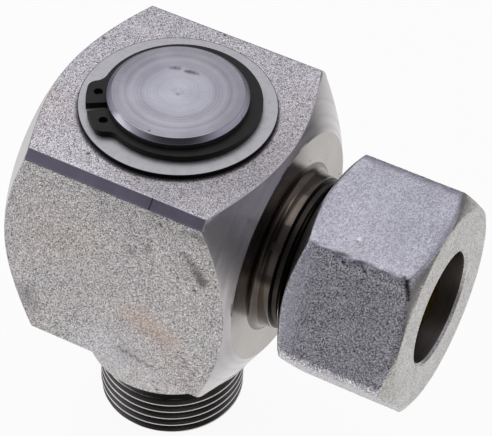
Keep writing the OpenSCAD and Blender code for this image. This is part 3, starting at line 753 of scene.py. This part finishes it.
# %% Cut the swivel bore
def cut(piece, cutter):
    """Cuts one piece out of another and removes the cutter."""
    modifier = piece.modifiers.new("cut", "BOOLEAN")
    modifier.object = cutter
    modifier.operation = "DIFFERENCE"
    modifier.solver = "EXACT"
    depsgraph = bpy.context.evaluated_depsgraph_get()
    mesh = bpy.data.meshes.new_from_object(piece.evaluated_get(depsgraph))
    piece.modifiers.clear()
    old = piece.data
    piece.data = mesh
    bpy.data.meshes.remove(old)
    bpy.data.objects.remove(cutter, do_unlink=True)
    print(piece.name, "after the cut:", len(piece.data.polygons), "faces")


OVERCUT = 1.5
chamfer_r = BORE_R + BORE_CHAMFER
bore_profile = [(BLOCK_BOTTOM - OVERCUT, 0.0), (BLOCK_BOTTOM - OVERCUT, chamfer_r),
                (BLOCK_BOTTOM, chamfer_r), (BLOCK_BOTTOM + BORE_CHAMFER, BORE_R),
                (CHAMBER_LOW, BORE_R), (CHAMBER_LOW, CHAMBER_R), (CHAMBER_HIGH, CHAMBER_R),
                (CHAMBER_HIGH, BORE_R), (BLOCK_TOP - BORE_CHAMFER, BORE_R), (BLOCK_TOP, chamfer_r),
                (BLOCK_TOP + OVERCUT, chamfer_r), (BLOCK_TOP + OVERCUT, 0.0)]
bore_cutter = build("bore_cutter", "Z", angles_with(96), [(*row, NECK) for row in bore_profile],
                    HOUSING_FINISHES)
cut(housing_look, bore_cutter)

# %% [markdown]
# Shading: edges sharper than about 30 degrees stay crisp, and the weighted normals keep the
# large flats flat beside their small rounded edges.

# %% Smooth shading that keeps flats flat
def shade(piece, sharp_degrees=32):
    """Smooth shading with crisp edges."""
    piece.data.shade_smooth()
    piece.data.set_sharp_from_angle(angle=math.radians(sharp_degrees))
    weighted = piece.modifiers.new("weighted normals", "WEIGHTED_NORMAL")
    weighted.keep_sharp = True
    weighted.weight = 100


shade(housing_look)
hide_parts("housing")
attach(housing_look, "housing")

# %% [markdown]
# ## The union nut
#
# The nut is cold formed: pressed to shape, so its corners are soft, and then its front face,
# bore and thread are turned.

# %% Rows of the nut
NUT_SIDE, NUT_FACE, NUT_INSIDE, NUT_TOP = range(4)
EDGE_SOFT = 0.45
EDGE_DROP = 0.12
CORNER_STEPS = (-3, -2, -1.3, -0.7, 0, 0.7, 1.3, 2, 3)


def nut_slot(a):
    """Two opposite flats were smooth in the press, the other four are rough."""
    flat = round((a - NUT_FLAT_ANGLE) / (math.pi / 3)) % 6
    return NUT_TOP if flat in (1, 4) else NUT_SIDE


def on_nut_cone(end, side):
    """A row halfway along the chamfer that the lathe cut at one end of the hexagon."""
    def radius(a):
        return NUT_FACE_R + (nut_radius(a) - NUT_FACE_R) * 0.5

    def along(a):
        return end - side * (radius(a) - NUT_FACE_R) * CONE_RISE
    return along, radius


def on_nut_side(t, drop=0.0):
    """A row along the hexagon, t from its back (-1) to its front (1), a little nearer the axis."""
    def radius(a):
        return nut_radius(a) - drop

    def along(a):
        rise = (nut_radius(a) - NUT_FACE_R) * CONE_RISE + 0.1
        return NUT_MIDDLE + t * ((NUT_FRONT - NUT_BACK) / 2 - rise)
    return along, radius


# From the tube's mouth over the front face and the flats to the back, and in again
rows = [(NUT_FRONT - NUT_MOUTH, SOCKET_R, NUT_INSIDE), (NUT_FRONT, SOCKET_R + NUT_MOUTH, NUT_FACE),
        (NUT_FRONT, 17.0, NUT_FACE), (NUT_FRONT, NUT_FACE_R - EDGE_SOFT, NUT_FACE),
        (NUT_FRONT - 0.05, NUT_FACE_R - 0.1, NUT_FACE), (*on_nut_cone(NUT_FRONT, 1), NUT_FACE),
        (*on_nut_side(0.999, EDGE_DROP), NUT_FACE)]
rows += [(*on_nut_side(0.975 - 0.04875 * step), nut_slot) for step in range(41)]
rows += [(*on_nut_side(-0.999, EDGE_DROP), nut_slot), (*on_nut_cone(NUT_BACK, -1), NUT_FACE),
         (NUT_BACK + 0.05, NUT_FACE_R - 0.1, NUT_FACE), (NUT_BACK, NUT_FACE_R - EDGE_SOFT, NUT_FACE),
         (NUT_BACK, NUT_BORE_R + NUT_LEAD_IN, NUT_FACE)]
rows += [(*row, NUT_INSIDE) for row in (
    (NUT_BACK + NUT_LEAD_IN, NUT_BORE_R), (NUT_BORE_END, NUT_BORE_R), (RING_ROOM_START, RING_ROOM_R),
    (RING_ROOM_END, RING_ROOM_R), (SHELF, SHELF_R), (SHELF, SOCKET_R))]
corner_angles = [NUT_FLAT_ANGLE + math.radians(60 * k + 30 + d) for k in range(6) for d in CORNER_STEPS]
nut_look = build("union_nut_body", "X", angles_with(288, corner_angles), rows,
                 [NUT_STEEL, NUT_FACE_STEEL, DARK_BORE, NUT_SMOOTH], closed=True)

# %% Wear on the nut
CORNER_WEAR, CORNER_WIDTH = 0.35, 1.8
END_WEAR, END_WIDTH = 0.16, 2.0
DENTS = 0.03
PANEL_DEPTH, PANEL_RIM = 0.16, 1.1


def soft_step(value, high):
    """Rises softly from 0 to 1 as the value goes from 0 to high."""
    t = min(max(value / high, 0.0), 1.0)
    return t * t * (3 - 2 * t)


def wear_nut(piece):
    """Lowers the panel of each rough flat and wears the corners and edges unevenly."""
    for vertex in piece.data.vertices:
        x, y, z = vertex.co / MM
        radius = math.hypot(y, z - TUBE_AXIS)
        if radius < NUT_FACE_R - 1.0:
            continue
        a = math.atan2(z - TUBE_AXIS, y)
        flat = round((a - NUT_FLAT_ANGLE) / (math.pi / 3))
        across = radius * math.sin(a - NUT_FLAT_ANGLE - flat * math.pi / 3)
        to_corner = NUT_HALF * math.tan(math.pi / 6) - abs(across)
        to_back, to_front = x - NUT_BACK, NUT_FRONT - x
        here = Vector((x, y, z))
        lump = 0.5 + 0.5 * noise.noise(here * 0.55) + 0.25 * noise.noise(here * 1.6)
        drop = CORNER_WEAR * lump * (1 - soft_step(to_corner, CORNER_WIDTH))
        drop += END_WEAR * lump * (1 - soft_step(min(to_back, to_front), END_WIDTH))
        drop += DENTS * (1 + noise.noise(here * 0.3))
        if flat % 3 != 1:
            inside = min(to_corner - 1.6, to_back - 4.6, to_front - 1.8)
            drop += PANEL_DEPTH * soft_step(inside, PANEL_RIM)
        scale = (radius - max(drop, 0.0)) / radius
        vertex.co = Vector((x, y * scale, TUBE_AXIS + (z - TUBE_AXIS) * scale)) * MM


wear_nut(nut_look)
shade(nut_look, 40)
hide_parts("union_nut")
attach(nut_look, "nut")

# %% [markdown]
# ## The stem
#
# One turned part from the stud's end to the top of the pin: G1 thread, sealing collar with
# two wrench flats, and the pin with grooves for the seals, the oil and the retaining ring.

# %% Rows of the stem
S_PIN, S_COLLAR, S_THREAD, S_DARK, S_EDGE = range(5)


def collar_radius(a, limit=COLLAR_R):
    """The collar, cut by its two wrench flats, and not wider than a limit."""
    side = abs(math.cos(a - WRENCH_TURN))
    return min(limit, WRENCH_HALF / side) if side > 0.5 else limit


def stud_limit(z):
    """The cone at the stud's tip, and the run-out of its thread at the relief."""
    return min(STUD_R, STUD_R - STUD_CHAMFER + (z - STUD_END),
               STUD_RELIEF_R + 0.2 + max(0.0, STUD_RELIEF - z))


# The blind oil bore and the stud
tip = STEM_BORE_TOP + STEM_BORE_R * math.tan(DRILL_ANGLE)
rows = [(tip, 0.0, S_DARK), (STEM_BORE_TOP, STEM_BORE_R, S_DARK), (STUD_END + 0.4, STEM_BORE_R, S_DARK),
        (STUD_END, STEM_BORE_R + 0.4, S_COLLAR), (STUD_END, STUD_R - STUD_CHAMFER - 0.1, S_COLLAR)]
rows.append({"pitch": STUD_PITCH, "crest": STUD_R, "depth": STUD_DEPTH, "low": STUD_END + 0.1,
             "high": STUD_THREAD_TOP, "limit": stud_limit, "slot": S_THREAD, "profile": WHITWORTH,
             "phase": -0.43})
# The groove for the face seal and the collar
rows += [(STUD_RELIEF, STUD_RELIEF_R, S_DARK), (FACE_GROOVE, STUD_RELIEF_R, S_DARK)]
rows += [(*row, S_COLLAR) for row in (
    (FACE_GROOVE, FACE_GROOVE_R), (0.15, FACE_GROOVE_R), (0.0, FACE_GROOVE_R + 0.15),
    (0.0, COLLAR_R - 0.25), (0.08, COLLAR_R - 0.08), (0.25, COLLAR_R), (COLLAR_RIM - 0.1, COLLAR_R),
    (COLLAR_RIM, lambda a: max(collar_radius(a), COLLAR_R - 0.1)), (COLLAR_RIM, collar_radius),
    (COLLAR_TOP - 0.6, collar_radius), (COLLAR_TOP, lambda a: collar_radius(a, COLLAR_R - 0.6)))]
rows.append((COLLAR_TOP, PIN_R, S_DARK))
# The pin with its grooves from the lowest to the highest, and its chamfered top
for low, high, floor_r in sorted((*DUST_GROOVES, *SEAL_GROOVES, OIL_WAIST, RING_GROOVE)):
    rows += [(place, r, S_DARK) for place, r in (
        (low, PIN_R), (low, floor_r), (high, floor_r), (high, PIN_R))]
rows += [(PIN_TOP - PIN_CHAMFER - 0.1, PIN_R, S_PIN),
         (PIN_TOP - PIN_CHAMFER + 0.08, PIN_R - 0.05, S_EDGE),
         (PIN_TOP - 0.08, PIN_R - PIN_CHAMFER + 0.08, S_EDGE),
         (PIN_TOP, PIN_R - PIN_CHAMFER - 0.15, S_PIN),
         (PIN_TOP, 9.0, S_PIN), (PIN_TOP, 4.0, S_PIN), (PIN_TOP, 0.0, S_PIN)]
flat_edge = math.acos(WRENCH_HALF / COLLAR_R)
flat_edges = [WRENCH_TURN + side * flat_edge + turn for side in (-1, 1) for turn in (0, math.pi)]
# The dark neck steel paints shade in the stem's oil bore, relief and grooves
stem_look = build("swivel_stem_body", "Z", angles_with(192, flat_edges), rows,
                  [TURNED_PIN, COLLAR_STEEL, STUD_THREAD, TURNED_NECK, PIN_EDGE])
shade(stem_look)
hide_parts("swivel_stem")
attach(stem_look, "stem")

# %% [markdown]
# ## Rings and washers from the CAD
#
# The CAD shapes of the retaining ring, the washers and the seals are already right. They keep
# their meshes and get a narrow bevel, as stamping and tumbling leave, and their own finish.

# %% Finish the CAD pieces
def dress(node, material, bevel_mm, rubbed=None):
    """Gives a CAD piece its finish, and its bevelled edges another, lighter one where given."""
    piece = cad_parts[node]
    piece.data.materials.clear()
    piece.data.materials.append(material)
    for polygon in piece.data.polygons:
        polygon.material_index = 0
    bevel = piece.modifiers.new("edge", "BEVEL")
    bevel.width = bevel_mm * MM
    bevel.segments = 2
    bevel.limit_method = "ANGLE"
    bevel.angle_limit = math.radians(50)
    if rubbed:
        piece.data.materials.append(rubbed)
        bevel.material = 1


SEALS = ("upper_seal_ring", "lower_seal_ring", "upper_dust_ring", "lower_dust_ring", "stud_seal")
BACKUPS = [f"{seal}_seal_backup_{side}" for seal in ("upper", "lower") for side in ("top", "bottom")]
# The ring's bevels get light steel: partly rubbed bare steel, partly a painted glint
dress("retaining_ring", PHOSPHATED, 0.16, RUBBED_EDGE_AND_GLINT)
for washer in ("upper_support_washer", "lower_thrust_washer"):
    dress(washer, GROUND, 0.12)
for ring in SEALS:
    dress(ring, RUBBER, 0.08)
for ring in BACKUPS:
    dress(ring, PTFE, 0.08)
dress("cutting_ring", PLATED, 0.05)
print("CAD pieces dressed:", len(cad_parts) - 3)

# %% [markdown]
# ## Floor, light and camera
#
# A plain pale floor and a soft white surround, as in a light tent. The side where the camera
# stands is darker, as it is in a real tent, and smooth faces that look that way turn dark.
# The floor is white paper. A mirror sees it bright near the part and dim further away, where
# a real sheet would end, and that shades the part's lower faces.

# %% Floor
FLOOR_GAP = 0.1
FLOOR_SIZE = 4.0
PAPER_GLOW = 0.93
PAPER_NEAR, PAPER_FAR, PAPER_DIM = 0.13, 0.36, 0.18
floor_mesh = bpy.data.meshes.new("studio_floor")
floor_bm = bmesh.new()
bmesh.ops.create_grid(floor_bm, x_segments=1, y_segments=1, size=FLOOR_SIZE)
floor_bm.to_mesh(floor_mesh)
floor_bm.free()
floor = bpy.data.objects.new("studio_floor", floor_mesh)
floor.location.z = (STUD_END - FLOOR_GAP) * MM
bpy.context.scene.collection.objects.link(floor)
floor_material, tree, shader, where = start_material("matt_white_paper", 0.0, 0.9)
fibre = add(tree, "TexNoise", {"Vector": where, "Scale": 300.0, "Detail": 2.0})
finish(tree, shader, ramp(tree, fibre, [(0.3, "#fafafa"), (0.7, "#fefefe")]))
rays = add(tree, "LightPath")
seen = add(tree, "Math", {
    0: rays.outputs["Is Camera Ray"], 1: rays.outputs["Is Glossy Ray"]}, operation="MAXIMUM")
share = add(tree, "Math", {0: seen, 1: PAPER_GLOW}, operation="MULTIPLY")
away = add(tree, "VectorMath", {0: where}, operation="LENGTH").outputs["Value"]
fade = add(tree, "MapRange", {
    "Value": away, "From Min": PAPER_NEAR, "From Max": PAPER_FAR, "To Min": 1.0, "To Max": PAPER_DIM},
    interpolation_type="SMOOTHSTEP")
strength = add(tree, "Math", {0: rays.outputs["Is Camera Ray"], 1: fade}, operation="MAXIMUM")
white = add(tree, "Emission", {"Color": (1, 1, 1, 1), "Strength": strength})
lit = add(tree, "MixShader", {0: share, 1: shader, 2: white})
tree.links.new(lit.outputs[0], tree.nodes["Material Output"].inputs["Surface"])
floor_mesh.materials.append(floor_material)

# %% Soft surround
# Back points from the part to the camera. The tent is dim there and brightens upward
CAMERA_AZ, CAMERA_EL, CAMERA_ROLL = (math.radians(a) for a in (25.92, 45.76, 2.92))
CAMERA_PLACE = (0.17851, -0.33213, 0.42449)
CAMERA_LENS = 180.86
back = Vector((math.sin(CAMERA_AZ) * math.cos(CAMERA_EL), -math.cos(CAMERA_AZ) * math.cos(CAMERA_EL),
               math.sin(CAMERA_EL)))
scene = bpy.context.scene
world = bpy.data.worlds.new("light_tent")
scene.world = world
world.use_nodes = True
tree = world.node_tree
tree.nodes.clear()
ray = add(tree, "TexCoord").outputs["Generated"]
toward = add(tree, "VectorMath", {0: ray, 1: back}, operation="DOT_PRODUCT").outputs["Value"]
dim = add(tree, "MapRange", {
    "Value": toward, "From Min": 0.5, "From Max": 0.97, "To Min": 1.0, "To Max": 0.06},
    interpolation_type="SMOOTHSTEP")
upward = add(tree, "SeparateXYZ", {0: ray}).outputs["Z"]
sky = add(tree, "MapRange", {
    "Value": upward, "From Min": -0.05, "From Max": 0.45, "To Min": 0.42, "To Max": 0.77},
    interpolation_type="SMOOTHSTEP")
level = add(tree, "Math", {0: dim, 1: sky}, operation="MULTIPLY")
tent = add(tree, "Background", {"Color": linear("#f1f1ff"), "Strength": level})
plain = add(tree, "Background", {"Color": (1, 1, 1, 1), "Strength": 1.0})
camera_ray = add(tree, "LightPath").outputs["Is Camera Ray"]
mixed = add(tree, "MixShader", {0: camera_ray, 1: tent, 2: plain})
add(tree, "OutputWorld", {"Surface": mixed})


def lamp(name, place, target, size, watts):
    """A square soft lamp that looks at a point, in millimetres."""
    light = bpy.data.lights.new(name, "AREA")
    light.size = size * MM
    light.energy = watts
    item = bpy.data.objects.new(name, light)
    item.location = Vector(place) * MM
    item.rotation_euler = (Vector(target) - Vector(place)).to_track_quat("-Z", "Y").to_euler()
    scene.collection.objects.link(item)


lamp("top_softbox", (-200, 150, 650), (0, 0, 40), 500, 0.8)
lamp("left_softbox", (-600, -350, 250), (0, 0, 30), 400, 0.5)
print("tent and lamps:", len(bpy.data.lights), "soft lamps")

# %% Camera
right = Vector((0, 0, 1)).cross(back).normalized()
up = back.cross(right)
c, s = math.cos(CAMERA_ROLL), math.sin(CAMERA_ROLL)
right, up = right * c + up * s, up * c - right * s
camera_data = bpy.data.cameras.new("camera")
camera_data.lens = CAMERA_LENS
camera_data.sensor_width = 36
camera_data.clip_start = 0.01
camera = bpy.data.objects.new("camera", camera_data)
turn = Matrix((right, up, back)).transposed().to_4x4()
camera.matrix_world = Matrix.Translation(CAMERA_PLACE) @ turn
scene.collection.objects.link(camera)
scene.camera = camera
scene.view_settings.view_transform = "Standard"
print("camera", round(camera.location.length, 3), "m from the part")
